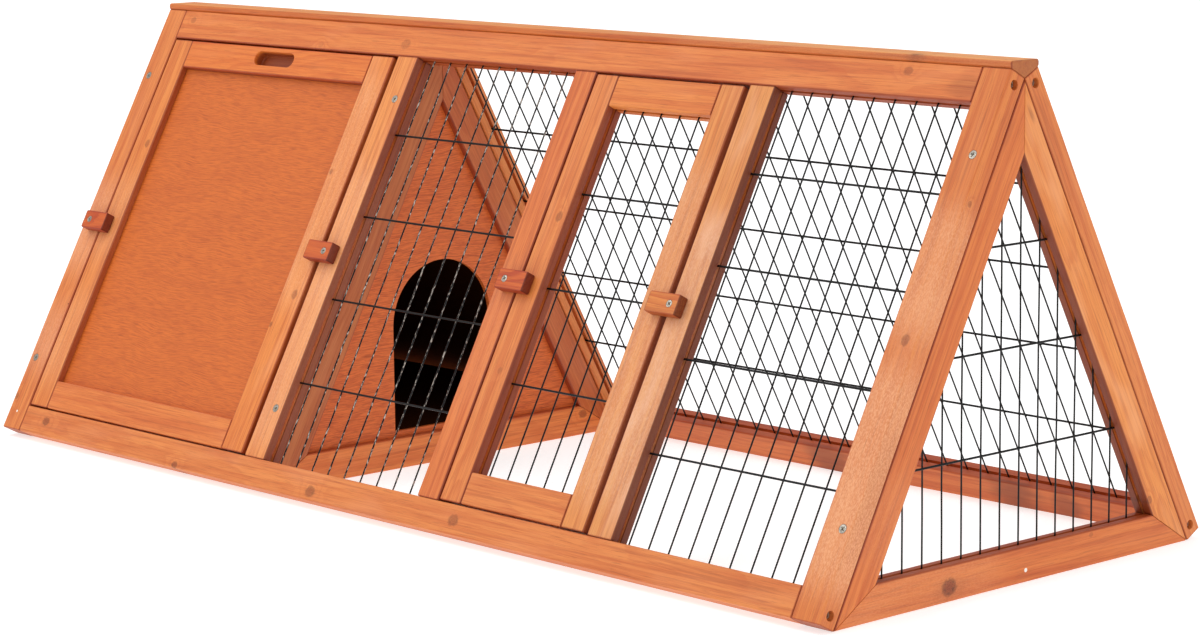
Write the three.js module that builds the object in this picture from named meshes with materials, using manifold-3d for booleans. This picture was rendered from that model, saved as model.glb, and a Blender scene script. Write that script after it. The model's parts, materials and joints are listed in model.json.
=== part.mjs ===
// An outdoor rabbit run of stained timber: two sloping panels lean on each other under a ridge cap, a plywood
// sleeping part at the left end and a wire-mesh run at the right. Millimetres and degrees, +Z up.
// The origin is on the ground under the middle of the run, X runs along the ridge and the front faces -Y.
import * as THREE from "three";
import { mergeVertices } from "three/addons/utils/BufferGeometryUtils.js";
import Module from "manifold-3d";

const wasm = await Module();
wasm.setup();

// Overall
const runLength = 1220;
const slopeLength = 498; // of a panel, from the ground to the ridge
const slopeAngle = 61.8; // of a panel to the ground

// Timber
const timberThickness = 20; // of a panel and of the frames that stand across the run
const stileWidth = 32;
const topRailWidth = 33;
const bottomRailWidth = 29;
const midRunStileWidth = 30;
const sleepDoorStileWidths = [31.5, 34]; // left, right
const runDoorStileWidths = [30, 30];
const doorRailWidth = 31;
const frameLegWidth = 31;
const frameRailHeight = 32;
const arrisChamfer = 1.2;
const jointGap = 0.3; // hairline left between pieces that meet

// Where things stand along the run, from its left end
const sleepDoorWidth = 380;
const runDoorWidth = 197.6;
const middleBayWidth = 237.3;
const partitionInset = 20.2; // from the left edge of its stile to the partition's middle

// Door gaps
const leftDoorGap = 1.8;
const rightDoorGap = 6;
const lowerDoorGap = 1.8;
const upperDoorGap = 2.2;

// Infills, held in saw grooves
const grooveDepth = 6;
const plyThickness = 5;
const uprightWire = 1.6;
const crossWire = 2.1;
const wireWeld = 0.25; // how far crossing wires sink into each other
const wirePitch = 25;
const backWirePitch = 26.2;
const middleWireInset = 14.2; // from the left edge of an opening to its first upright wire
const doorWireInset = 13.1;
const rightWireInset = 11.5;
const backWireInset = 20;
const rowPitch = 89.6;
const firstRowHeight = 114; // up the slope
const backRowHeight = 110;
const endRowHeight = 117.5; // above the ground; the row below it lies in the rail's groove
const doorRowPitch = 95.8;
const firstDoorRow = 91; // above the run door's bottom rail
const endWireShift = -3.3; // the end mesh sits a little towards the front

// Doorway in the partition
const archHalfWidth = 65;
const archSpring = 144;
const archSteps = 20;

// Sleeping floor
const floorThickness = 5;

// Ridge cap
const capHalfWidth = 18;
const capEdge = 6.4; // height of the cap's upright edges

// Finger recess in the sleeping door's top rail
const recessLength = 67;
const recessHeight = 15.6;
const recessDepth = 12;
const recessShift = -4.3; // from the middle of the door
const recessRise = 2.3; // from the middle of the rail
const recessSteps = 8; // on each round end

// Turn buttons
const buttonLength = 39;
const buttonWidth = 20;
const buttonThickness = 10.6;
const buttonPivotInset = 10.5; // from the button's blunt end to its screw
const buttonCorner = 3;
const buttonBevel = 1;
const leftButtonSetback = 10.5; // from the door's edge to the screw
const sleepRightSetback = 20.5;
const runRightSetback = 15.5;
const sleepLeftButtonHeight = 242; // up the slope
const buttonHeight = 246.5;

// Screws
const screwSides = 10;
const screwClearance = 0.35;
const faceScrewHead = 3.9; // head radius
const faceScrewShank = 2;
const faceScrewLength = 42;
const faceScrewLow = 82; // up the slope from the ground
const faceScrewHigh = 80; // down the slope from the ridge
const headRim = 0.5; // the straight edge of a countersunk head
const pivotScrewHead = 3.4;
const pivotScrewShank = 1.7;
const pivotScrewLength = 24;
const cornerScrewHead = 3.6;
const cornerScrewShank = 2;
const cornerScrewLength = 45;
const cornerScrewInset = 10.7; // from the stile's end
const cornerHeadHeight = 2.2;
const counterboreRadius = 4.4;
const counterboreDepth = 7;
const counterboreSides = 14;
const headTaper = 0.8; // a countersunk head's depth for each unit of the step from shank to head

// Worked out from the above
const slope = THREE.MathUtils.degToRad(slopeAngle);
const footprint = slopeLength * Math.cos(slope); // from the middle to a panel's inner bottom edge
const apexHeight = slopeLength * Math.sin(slope); // where the two inner top edges meet
const midThickness = timberThickness / 2;
const leftEnd = -runLength / 2;
const rightEnd = runLength / 2;
const railTop = slopeLength - topRailWidth; // lower edge of a panel's top rail
const doorBottom = bottomRailWidth + lowerDoorGap;
const doorTop = railTop - upperDoorGap;
const meshThickness = uprightWire + crossWire - wireWeld;
const floorTop = frameRailHeight + jointGap + floorThickness;
const capTop = apexHeight + timberThickness * Math.cos(slope) + capEdge;

// Places along the front panel, each opening or piece following the last
const sleepDoorLeft = leftEnd + stileWidth + leftDoorGap;
const sleepDoorRight = sleepDoorLeft + sleepDoorWidth;
const partitionStileLeft = sleepDoorRight + rightDoorGap;
const middleBayLeft = partitionStileLeft + stileWidth;
const middleBayRight = middleBayLeft + middleBayWidth;
const runDoorLeft = middleBayRight + midRunStileWidth + leftDoorGap;
const runDoorRight = runDoorLeft + runDoorWidth;
const runStileLeft = runDoorRight + rightDoorGap;
const rightBayLeft = runStileLeft + stileWidth;
const rightBayRight = rightEnd - stileWidth;
const partitionMiddle = partitionStileLeft + partitionInset;

// Looks
function finish(name, color, roughness, metalness) {
  const material = new THREE.MeshStandardMaterial({ color, roughness, metalness });
  material.name = name;
  return material;
}
const timberFinish = () => finish("stained_fir", 0xc9682c, 0.55, 0);
const plyFinish = () => finish("stained_plywood", 0xb85a26, 0.6, 0);
const wireFinish = () => finish("black_wire", 0x15181a, 0.35, 0.3);
const screwFinish = () => finish("zinc_screw", 0xc8ccd0, 0.3, 1);

// Solids in and out of the boolean library
function solidOf(geometry) {
  const bare = geometry.index ? geometry.toNonIndexed() : geometry.clone();
  bare.deleteAttribute("normal");
  bare.deleteAttribute("uv");
  const merged = mergeVertices(bare, 1e-4);
  return new wasm.Manifold(
    new wasm.Mesh({
      numProp: 3,
      vertProperties: new Float32Array(merged.attributes.position.array),
      triVerts: new Uint32Array(merged.index.array),
    }),
  );
}

function geometryOf(solid) {
  const mesh = solid.getMesh();
  const geometry = new THREE.BufferGeometry();
  geometry.setAttribute("position", new THREE.BufferAttribute(mesh.vertProperties, 3));
  geometry.setIndex(new THREE.BufferAttribute(mesh.triVerts, 1));
  geometry.computeVertexNormals();
  return geometry;
}

const cut = (solid, tools) => tools.reduce((rest, tool) => rest.subtract(tool), solid);
const fuse = (solids) => solids.reduce((whole, next) => whole.add(next));

// A plain block between two corners.
function block(low, high) {
  const size = high.map((value, i) => value - low[i]);
  const box = new THREE.BoxGeometry(...size);
  box.translate(...low.map((value, i) => value + size[i] / 2));
  return solidOf(box);
}

// Turns a shape drawn in (u, v) and extruded along w, so that u, v and w lie along the three given axes.
function extrude(shape, depth, axes, offset, options = {}) {
  const geometry = new THREE.ExtrudeGeometry(shape, { depth, bevelEnabled: false, ...options });
  const turn = new THREE.Matrix4().makeBasis(...axes);
  geometry.applyMatrix4(turn);
  geometry.translate(...offset);
  return solidOf(geometry);
}

const axisX = new THREE.Vector3(1, 0, 0);
const axisY = new THREE.Vector3(0, 1, 0);
const axisZ = new THREE.Vector3(0, 0, 1);
const alongX = [axisY, axisZ, axisX];
const alongY = [axisZ, axisX, axisY];
const alongZ = [axisX, axisY, axisZ];

function polygon(points) {
  return new THREE.Shape(points.map(([u, v]) => new THREE.Vector2(u, v)));
}

// A length of timber between two corners, its long arrises chamfered. The grain runs along X or Y.
function timber(low, high, grain) {
  const c = arrisChamfer;
  const [u, v, w] = grain === "x" ? [1, 2, 0] : [2, 0, 1];
  const [u0, v0, u1, v1] = [low[u], low[v], high[u], high[v]];
  const section = polygon([
    [u0 + c, v0],
    [u1 - c, v0],
    [u1, v0 + c],
    [u1, v1 - c],
    [u1 - c, v1],
    [u0 + c, v1],
    [u0, v1 - c],
    [u0, v0 + c],
  ]);
  const start = [0, 0, 0];
  start[w] = low[w];
  return extrude(section, high[w] - low[w], grain === "x" ? alongX : alongY, start);
}

// The groove that an infill needs round an opening: [x0, x1, y0, y1] in a panel's own plane.
function grooveRound([x0, x1, y0, y1], thickness) {
  const half = thickness / 2 + jointGap;
  return block(
    [x0 - grooveDepth, y0 - grooveDepth, midThickness - half],
    [x1 + grooveDepth, y1 + grooveDepth, midThickness + half],
  );
}

// A plywood sheet that fills an opening and the grooves round it.
function plySheet([x0, x1, y0, y1]) {
  const reach = grooveDepth - jointGap;
  return block(
    [x0 - reach, y0 - reach, midThickness - plyThickness / 2],
    [x1 + reach, y1 + reach, midThickness + plyThickness / 2],
  );
}

// Evenly spaced places from a first one up to a last one that may not be passed.
function places(first, pitch, last) {
  const count = Math.max(1, Math.floor((last - first) / pitch) + 1);
  return Array.from({ length: count }, (_, i) => first + i * pitch);
}

// Welded mesh: upright wires on the inner side, cross wires on the outer side, sunk a little into each other.
function meshSheet([x0, x1, y0, y1], firstUpright, uprightPitch, firstRow, pitch) {
  const reach = grooveDepth - jointGap;
  const inner = midThickness - meshThickness / 2;
  const outer = midThickness + meshThickness / 2;
  const uprights = places(firstUpright, uprightPitch, x1 - uprightWire).map((x) =>
    block([x - uprightWire / 2, y0 - reach, inner], [x + uprightWire / 2, y1 + reach, inner + uprightWire]),
  );
  const rows = places(firstRow, pitch, y1 - crossWire).map((y) =>
    block([x0 - reach, y - crossWire / 2, outer - crossWire], [x1 + reach, y + crossWire / 2, outer]),
  );
  return fuse([...uprights, ...rows]);
}

// A screw on the Z axis with its head's flat top at z = 0: shank and tip below, head tapering to the shank.
// A flat-sided head sits on the floor of a counterbore instead. grow widens it for the hole that it needs.
function screwSolid(head, shank, length, grow = 0, flat = false) {
  const taper = flat ? 0 : (head - shank) * headTaper;
  const edge = flat ? cornerHeadHeight : headRim;
  const rise = grow > 0 ? 1 : 0; // a hole is open above the head
  const tip = length + grow;
  const profile = [
    [0, -tip],
    [shank + grow, -tip + 2 * shank],
    [shank + grow, -edge - taper - grow * 0.4],
    [head + grow, -edge - grow * 0.4],
    [head + grow, rise],
    [0, rise],
  ];
  const lathe = new THREE.LatheGeometry(
    profile.map(([r, z]) => new THREE.Vector2(r, z)),
    screwSides,
  );
  lathe.rotateX(Math.PI / 2); // the lathe's own Y axis becomes Z
  return solidOf(lathe);
}

// The same screw moved to a place, its head facing +Z or, when turned, +X or -X.
function placedScrew(size, place, facing = "z", grow = 0) {
  const solid = screwSolid(size.head, size.shank, size.length, grow, size.flat);
  const turned = { z: [0, 0, 0], x: [0, 90, 0], "-x": [0, -90, 0] }[facing];
  return solid.rotate(turned).translate(place);
}

const faceScrew = { head: faceScrewHead, shank: faceScrewShank, length: faceScrewLength };
const pivotScrew = { head: pivotScrewHead, shank: pivotScrewShank, length: pivotScrewLength };
const cornerScrew = { head: cornerScrewHead, shank: cornerScrewShank, length: cornerScrewLength, flat: true };

const run = new THREE.Group();

function addPiece(group, name, solid, material) {
  const mesh = new THREE.Mesh(geometryOf(solid), material);
  mesh.name = name;
  group.add(mesh);
}

// A sloping panel's own plane: X along the run, Y up the slope from its inner bottom edge, Z outwards.
function slopingGroup() {
  const group = new THREE.Group();
  group.position.set(0, -footprint, 0);
  group.rotation.x = slope;
  return group;
}
const frontPanel = slopingGroup();
run.add(frontPanel);

// The back panel is the same kind of panel turned round, so its own X runs from the right end to the left.
const backPanel = slopingGroup();
const backSide = new THREE.Group();
backSide.rotation.z = Math.PI;
backSide.add(backPanel);
run.add(backSide);

const stile = (x, y0, y1, width = stileWidth) => timber([x, y0, 0], [x + width, y1, timberThickness], "y");
const rail = (x0, x1, y, width) => timber([x0, y, 0], [x1, y + width, timberThickness], "x");

// Face screws go through a panel into the frame behind it, corner screws through an end stile into a rail.
const faceScrewLevels = { lower: faceScrewLow, upper: slopeLength - faceScrewHigh };
const faceHoles = (x) =>
  Object.values(faceScrewLevels).map((y) =>
    placedScrew(faceScrew, [x, y, timberThickness], "z", screwClearance),
  );
const endScrewX = rightEnd - midThickness;
const startScrewX = leftEnd + midThickness;

// The corner screws of the right end: head on the floor of a counterbore in the stile's outer side.
const cornerHeights = { bottom: cornerScrewInset, top: slopeLength - cornerScrewInset };
function cornerHoles(x, facing) {
  const inwards = facing === "x" ? -1 : 1;
  const headPlace = x + inwards * (counterboreDepth - cornerHeadHeight);
  return Object.values(cornerHeights).flatMap((y) => [
    placedScrew(cornerScrew, [headPlace, y, midThickness], facing, screwClearance),
    counterbore([x, y, midThickness]),
  ]);
}

function counterbore([x, y, z]) {
  const radius = counterboreRadius;
  const bore = new THREE.CylinderGeometry(radius, radius, 2 * counterboreDepth, counterboreSides);
  bore.rotateZ(Math.PI / 2);
  bore.translate(x, y, z);
  return solidOf(bore);
}

function addCornerScrews(group, side, x, facing) {
  const inwards = facing === "x" ? -1 : 1;
  const headPlace = x + inwards * (counterboreDepth - cornerHeadHeight);
  for (const [level, y] of Object.entries(cornerHeights))
    addPiece(
      group,
      `corner_screw_${side}_${level}`,
      placedScrew(cornerScrew, [headPlace, y, midThickness], facing),
      screwFinish(),
    );
}

// Turn buttons: each is pivoted on a fixed stile and its nose laps over a door's edge.
const buttons = [
  { name: "sleep_left", pivot: sleepDoorLeft - leftButtonSetback, nose: 1, height: sleepLeftButtonHeight },
  { name: "sleep_right", pivot: sleepDoorRight + sleepRightSetback, nose: -1, height: buttonHeight },
  { name: "run_left", pivot: runDoorLeft - leftButtonSetback, nose: 1, height: buttonHeight },
  { name: "run_right", pivot: runDoorRight + runRightSetback, nose: -1, height: buttonHeight },
];
const buttonBase = timberThickness + jointGap;
const pivotHoles = (names) =>
  buttons
    .filter(({ name }) => names.includes(name))
    .map(({ pivot, height }) =>
      placedScrew(pivotScrew, [pivot, height, buttonBase + buttonThickness], "z", screwClearance),
    );

// Openings of the front panel that hold wire mesh
const middleBay = [middleBayLeft, middleBayRight, bottomRailWidth, railTop];
const rightBay = [rightBayLeft, rightBayRight, bottomRailWidth, railTop];
const middleGroove = grooveRound(middleBay, meshThickness);
const rightGroove = grooveRound(rightBay, meshThickness);

function buildFrontPanel() {
  const between = [bottomRailWidth + jointGap, railTop - jointGap];
  const whole = [0, slopeLength];
  const railSpan = [leftEnd + stileWidth + jointGap, rightEnd - stileWidth - jointGap];
  const rightCorners = cornerHoles(rightEnd, "x");
  const fixedStiles = {
    front_stile_left_end: cut(stile(leftEnd, ...whole), [
      ...faceHoles(startScrewX),
      ...pivotHoles(["sleep_left"]),
    ]),
    front_stile_at_partition: cut(stile(partitionStileLeft, ...between), [
      ...faceHoles(partitionMiddle),
      ...pivotHoles(["sleep_right"]),
      middleGroove,
    ]),
    front_stile_mid_run: cut(stile(middleBayRight, ...between, midRunStileWidth), [
      ...pivotHoles(["run_left"]),
      middleGroove,
    ]),
    front_stile_by_run_door: cut(stile(runStileLeft, ...between), [...pivotHoles(["run_right"]), rightGroove]),
    front_stile_right_end: cut(stile(rightBayRight, ...whole), [
      ...faceHoles(endScrewX),
      ...rightCorners,
      rightGroove,
    ]),
    front_rail_top: cut(rail(...railSpan, railTop, topRailWidth), [middleGroove, rightGroove, ...rightCorners]),
    front_rail_bottom: cut(rail(...railSpan, 0, bottomRailWidth), [middleGroove, rightGroove, ...rightCorners]),
  };
  for (const [name, solid] of Object.entries(fixedStiles)) addPiece(frontPanel, name, solid, timberFinish());
  const mesh = (bay, inset) => meshSheet(bay, bay[0] + inset, wirePitch, firstRowHeight, rowPitch);
  addPiece(frontPanel, "front_mesh_middle", mesh(middleBay, middleWireInset), wireFinish());
  addPiece(frontPanel, "front_mesh_right", mesh(rightBay, rightWireInset), wireFinish());
  addCornerScrews(frontPanel, "front", rightEnd, "x");
}

// A door: two stiles, two rails between them, and an infill in their grooves.
function buildDoor(name, left, right, stileWidths, thickness, infillPiece, railTools) {
  const [leftWidth, rightWidth] = stileWidths;
  const opening = [left + leftWidth, right - rightWidth, doorBottom + doorRailWidth, doorTop - doorRailWidth];
  const groove = grooveRound(opening, thickness);
  const railSpan = [opening[0] + jointGap, opening[1] - jointGap];
  const members = {
    stile_left: cut(stile(left, doorBottom, doorTop, leftWidth), [groove]),
    stile_right: cut(stile(opening[1], doorBottom, doorTop, rightWidth), [groove]),
    rail_bottom: cut(rail(...railSpan, doorBottom, doorRailWidth), [groove]),
    rail_top: cut(rail(...railSpan, opening[3], doorRailWidth), [groove, ...railTools]),
  };
  for (const [part, solid] of Object.entries(members))
    addPiece(frontPanel, `${name}_${part}`, solid, timberFinish());
  const infill = infillPiece(opening);
  addPiece(frontPanel, `${name}_${infill.part}`, infill.solid, infill.material);
}

// The blind slot for two fingers, with round ends, open at the rail's outer face.
function fingerRecess() {
  const round = recessHeight / 2;
  const straight = recessLength / 2 - round;
  const slot = new THREE.Shape();
  slot.absarc(straight, 0, round, -Math.PI / 2, Math.PI / 2, false);
  slot.absarc(-straight, 0, round, Math.PI / 2, (3 * Math.PI) / 2, false);
  const middle = (sleepDoorLeft + sleepDoorRight) / 2 + recessShift;
  const height = doorTop - doorRailWidth / 2 + recessRise;
  const floor = timberThickness - recessDepth;
  return extrude(slot, recessDepth + 1, alongZ, [middle, height, floor], { curveSegments: recessSteps });
}

function buildDoors() {
  const plyInfill = (opening) => ({ part: "plywood", solid: plySheet(opening), material: plyFinish() });
  const meshInfill = (opening) => ({
    part: "mesh",
    solid: meshSheet(opening, opening[0] + doorWireInset, wirePitch, opening[2] + firstDoorRow, doorRowPitch),
    material: wireFinish(),
  });
  buildDoor("sleep_door", sleepDoorLeft, sleepDoorRight, sleepDoorStileWidths, plyThickness, plyInfill, [
    fingerRecess(),
  ]);
  buildDoor("run_door", runDoorLeft, runDoorRight, runDoorStileWidths, meshThickness, meshInfill, []);
}

// A turn button: a small block with rounded corners and softened front edges, drilled for its screw.
function buildButtons() {
  for (const { name, pivot, nose, height } of buttons) {
    const r = buttonCorner;
    const [x0, x1] = [-buttonPivotInset, buttonLength - buttonPivotInset];
    const half = buttonWidth / 2;
    const outline = new THREE.Shape();
    outline.absarc(x1 - r, half - r, r, 0, Math.PI / 2, false);
    outline.absarc(x0 + r, half - r, r, Math.PI / 2, Math.PI, false);
    outline.absarc(x0 + r, r - half, r, Math.PI, 1.5 * Math.PI, false);
    outline.absarc(x1 - r, r - half, r, 1.5 * Math.PI, 2 * Math.PI, false);
    const body = extrude(outline, buttonThickness - 2 * buttonBevel, alongZ, [0, 0, buttonBevel], {
      curveSegments: 3,
      bevelEnabled: true,
      bevelSegments: 1,
      bevelSize: buttonBevel,
      bevelThickness: buttonBevel,
      bevelOffset: -buttonBevel,
    });
    const turned = nose < 0 ? body.rotate([0, 0, 180]) : body;
    const placed = turned.translate([pivot, height, buttonBase]);
    addPiece(frontPanel, `turn_button_${name}`, cut(placed, pivotHoles([name])), timberFinish());
    const screwPlace = [pivot, height, buttonBase + buttonThickness];
    addPiece(frontPanel, `pivot_screw_${name}`, placedScrew(pivotScrew, screwPlace), screwFinish());
  }
}

// Back panel: mesh beside the run and plywood beside the sleeping part, with a stile at the partition between.
function buildBackPanel() {
  const between = [bottomRailWidth + jointGap, railTop - jointGap];
  const stileLeft = -(partitionStileLeft + stileWidth);
  const meshBay = [leftEnd + stileWidth, stileLeft, bottomRailWidth, railTop];
  const plyBay = [stileLeft + stileWidth, rightEnd - stileWidth, bottomRailWidth, railTop];
  const grooves = [grooveRound(meshBay, meshThickness), grooveRound(plyBay, plyThickness)];
  const corners = cornerHoles(leftEnd, "-x");
  const railSpan = [leftEnd + stileWidth + jointGap, rightEnd - stileWidth - jointGap];
  const members = {
    back_stile_right_end: cut(stile(leftEnd, 0, slopeLength), [...grooves, ...corners]),
    back_stile_at_partition: cut(stile(stileLeft, ...between), grooves),
    back_stile_left_end: cut(stile(rightEnd - stileWidth, 0, slopeLength), grooves),
    back_rail_top: cut(rail(...railSpan, railTop, topRailWidth), [...grooves, ...corners]),
    back_rail_bottom: cut(rail(...railSpan, 0, bottomRailWidth), [...grooves, ...corners]),
  };
  for (const [name, solid] of Object.entries(members)) addPiece(backPanel, name, solid, timberFinish());
  addPiece(backPanel, "back_plywood", plySheet(plyBay), plyFinish());
  const mesh = meshSheet(meshBay, meshBay[0] + backWireInset, backWirePitch, backRowHeight, rowPitch);
  addPiece(backPanel, "back_mesh", mesh, wireFinish());
  addCornerScrews(backPanel, "back", leftEnd, "-x");
}

// Frames that stand across the run between the panels. Half-width of the room under the panels at a height:
const frameRoom = (z) => footprint - z / Math.tan(slope) - jointGap / Math.sin(slope);
const innerReach = (z) => frameRoom(z) - frameLegWidth / Math.sin(slope); // to a leg's inner edge
const innerApex = (footprint - (jointGap + frameLegWidth) / Math.sin(slope)) * Math.tan(slope);
const outerApex = (footprint - jointGap / Math.sin(slope)) * Math.tan(slope);

// The triangle inside a frame's legs and rail, widened all round by a margin.
function frameOpening(margin) {
  const base = frameRailHeight - margin;
  const reach = (z) => innerReach(z) + margin / Math.sin(slope);
  return [
    [-reach(base), base],
    [reach(base), base],
    [0, innerApex + margin / Math.cos(slope)],
  ];
}

const acrossRun = (points, middle, thickness) =>
  extrude(polygon(points), thickness, alongX, [middle - thickness / 2, 0, 0]);

// One frame: two legs mitred at the ridge and at the feet, a bottom rail, and the holes of the face screws.
function buildFrame(name, middle, infillThickness) {
  const half = jointGap / 2;
  const groove = acrossRun(frameOpening(grooveDepth), middle, infillThickness + 2 * jointGap);
  const corner = [innerReach(frameRailHeight), frameRailHeight];
  const foot = [frameRoom(0), 0];
  const leg = (side) => {
    const points = [
      [foot[0] + half, half],
      [half, outerApex - half / Math.cos(slope)],
      [half, innerApex],
      [corner[0] + half, corner[1] + half],
    ].map(([y, z]) => [side * Math.min(y, frameRoom(z)), z]);
    return acrossRun(side > 0 ? points : points.reverse(), middle, timberThickness);
  };
  const railPoints = [
    [-foot[0] + jointGap, 0],
    [foot[0] - jointGap, 0],
    [corner[0] - jointGap, corner[1]],
    [-corner[0] + jointGap, corner[1]],
  ];
  const frontLeg = cut(leg(-1), [groove, ...frameScrewHoles(middle)]);
  addPiece(run, `${name}_leg_front`, frontLeg, timberFinish());
  addPiece(run, `${name}_leg_back`, cut(leg(1), [groove]), timberFinish());
  addPiece(run, `${name}_rail`, cut(acrossRun(railPoints, middle, timberThickness), [groove]), timberFinish());
}

// The face screws' holes, carried from the front panel's plane into the run's own.
function frameScrewHoles(middle) {
  const turn = new THREE.Matrix4().makeRotationX(slope).setPosition(0, -footprint, 0);
  return faceHoles(middle).map((hole) => hole.transform(turn.elements));
}

function endMesh(middle) {
  const inner = middle - meshThickness / 2;
  const outer = middle + meshThickness / 2;
  const reach = grooveDepth - jointGap;
  const margin = reach / Math.sin(slope);
  const crown = innerApex + reach / Math.cos(slope);
  const topAt = (y) => crown - (Math.abs(y) + uprightWire / 2) * Math.tan(slope);
  const base = frameRailHeight - reach;
  const widest = innerReach(frameRailHeight);
  const halfCount = Math.floor((widest - uprightWire) / wirePitch + 0.5);
  const uprights = places((0.5 - halfCount) * wirePitch + endWireShift, wirePitch, widest)
    .filter((y) => Math.abs(y) < widest - uprightWire)
    .map((y) =>
      block([inner, y - uprightWire / 2, base], [inner + uprightWire, y + uprightWire / 2, topAt(y)]),
    );
  const rows = places(endRowHeight - rowPitch, rowPitch, innerApex)
    .filter((z) => innerReach(z) > wirePitch)
    .map((z) => {
      const end = innerReach(z + crossWire / 2) + margin;
      return block([outer - crossWire, -end, z - crossWire / 2], [outer, end, z + crossWire / 2]);
    });
  return fuse([...uprights, ...rows]);
}

// A triangle of plywood for a frame, with an arched doorway if asked.
function framePly(middle, withDoorway) {
  const sheet = acrossRun(frameOpening(grooveDepth - jointGap), middle, plyThickness);
  if (!withDoorway) return sheet;
  const doorway = new THREE.Shape();
  doorway.moveTo(-archHalfWidth, floorTop + jointGap);
  doorway.lineTo(archHalfWidth, floorTop + jointGap);
  doorway.absarc(0, archSpring, archHalfWidth, 0, Math.PI, false);
  const tool = extrude(doorway, 2 * plyThickness, alongX, [middle - plyThickness, 0, 0], {
    curveSegments: archSteps,
  });
  return cut(sheet, [tool]);
}

function buildFrames() {
  const rightMiddle = rightEnd - midThickness;
  const leftMiddle = leftEnd + midThickness;
  buildFrame("right_end", rightMiddle, meshThickness);
  addPiece(run, "right_end_mesh", endMesh(rightMiddle), wireFinish());
  buildFrame("left_end", leftMiddle, plyThickness);
  addPiece(run, "left_end_plywood", framePly(leftMiddle, false), plyFinish());
  buildFrame("partition", partitionMiddle, plyThickness);
  addPiece(run, "partition_plywood", framePly(partitionMiddle, true), plyFinish());
}

function buildFaceScrews() {
  const columns = { left_end: startScrewX, partition: partitionMiddle, right_end: endScrewX };
  for (const [place, x] of Object.entries(columns))
    for (const [level, y] of Object.entries(faceScrewLevels))
      addPiece(
        frontPanel,
        `face_screw_${place}_${level}`,
        placedScrew(faceScrew, [x, y, timberThickness]),
        screwFinish(),
      );
}

// The sleeping floor lies on the partition's and the left end's bottom rails, beside their plywood.
function buildFloor() {
  const from = leftEnd + midThickness + plyThickness / 2 + jointGap;
  const to = partitionMiddle - plyThickness / 2 - jointGap;
  const bottom = frameRailHeight + jointGap;
  const legRoom = innerReach(floorTop) - jointGap;
  const wide = footprint - floorTop / Math.tan(slope) - jointGap / Math.sin(slope);
  const notch = timberThickness / 2 + jointGap; // the corners are notched round the legs
  const outline = polygon([
    [from, -legRoom],
    [from + notch, -legRoom],
    [from + notch, -wide],
    [to - notch, -wide],
    [to - notch, -legRoom],
    [to, -legRoom],
    [to, legRoom],
    [to - notch, legRoom],
    [to - notch, wide],
    [from + notch, wide],
    [from + notch, legRoom],
    [from, legRoom],
  ]);
  addPiece(run, "sleeping_floor", extrude(outline, floorThickness, alongZ, [0, 0, bottom]), plyFinish());
}

// The cap's underside is a V that lies on the square-cut top edges of both panels.
function buildRidgeCap() {
  const valley = apexHeight + jointGap / Math.sin(slope);
  const sideBottom = valley + capHalfWidth / Math.tan(slope);
  const section = polygon([
    [0, valley],
    [capHalfWidth, sideBottom],
    [capHalfWidth, capTop],
    [-capHalfWidth, capTop],
    [-capHalfWidth, sideBottom],
  ]);
  addPiece(run, "ridge_cap", extrude(section, runLength, alongX, [leftEnd, 0, 0]), timberFinish());
}

buildFrontPanel();
buildDoors();
buildButtons();
buildBackPanel();
buildFrames();
buildFaceScrews();
buildFloor();
buildRidgeCap();

export default run;
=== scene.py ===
# An outdoor rabbit run of stained timber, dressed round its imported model. Sizes in the settings are millimetres,
# measured on the run: x along it, levels up a panel's slope, depths outwards from its inner face.
import json
import math
import bpy
import numpy as np
from mathutils import Matrix, Vector


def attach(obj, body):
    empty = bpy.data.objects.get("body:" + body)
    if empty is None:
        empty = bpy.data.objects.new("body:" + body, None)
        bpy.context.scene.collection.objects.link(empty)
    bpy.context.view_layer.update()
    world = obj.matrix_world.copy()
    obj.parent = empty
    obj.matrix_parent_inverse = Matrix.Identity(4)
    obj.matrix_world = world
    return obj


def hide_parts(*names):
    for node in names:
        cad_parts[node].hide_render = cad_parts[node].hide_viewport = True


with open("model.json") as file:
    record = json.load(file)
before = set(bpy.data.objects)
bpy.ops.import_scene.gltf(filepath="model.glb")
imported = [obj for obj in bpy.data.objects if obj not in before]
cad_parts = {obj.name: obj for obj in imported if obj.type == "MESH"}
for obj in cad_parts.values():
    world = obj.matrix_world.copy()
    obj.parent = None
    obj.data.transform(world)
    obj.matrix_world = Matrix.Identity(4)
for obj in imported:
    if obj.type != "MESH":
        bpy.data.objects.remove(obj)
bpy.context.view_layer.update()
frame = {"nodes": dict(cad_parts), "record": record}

mm = 0.001

run = dict(
    length=1220,
    slopeLength=498,  # of a panel, from the ground to the ridge
    slopeAngle=61.8,  # of a panel to the ground
    thickness=20,
    endSoftness=0.5,  # how far a sawn end is eased
)
slope = math.radians(run["slopeAngle"])
footprint = run["slopeLength"] * math.cos(slope)
panelMiddle = run["thickness"] / 2


def panelPlace(turned):  # a panel's own plane: X along the run, Y up the slope, Z outwards
    place = np.eye(4)
    place[:3, 1] = (0, math.cos(slope), math.sin(slope))
    place[:3, 2] = (0, -math.sin(slope), math.cos(slope))
    place[:3, 3] = (0, -footprint, 0)
    return np.diag([-1, -1, 1, 1.0]) @ place if turned else place


places = {"front": panelPlace(False), "back": panelPlace(True), "upright": np.eye(4)}


def pieceFrame(place, along, across):  # the piece's own axes: along its grain, across it, and their product
    a, b = place[:3, along], place[:3, across]
    own = np.eye(4)
    own[:3, :3] = np.column_stack([a, b, np.cross(a, b)])
    own[:3, 3] = place[:3, 3]
    return own


def moved(points, place):
    return points @ place[:3, :3].T + place[:3, 3]


def cornersOf(piece):
    vertices = piece.data.vertices
    points = np.empty(len(vertices) * 3, np.float32)
    vertices.foreach_get("co", points)
    return points.reshape(-1, 3).astype(float)


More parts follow.
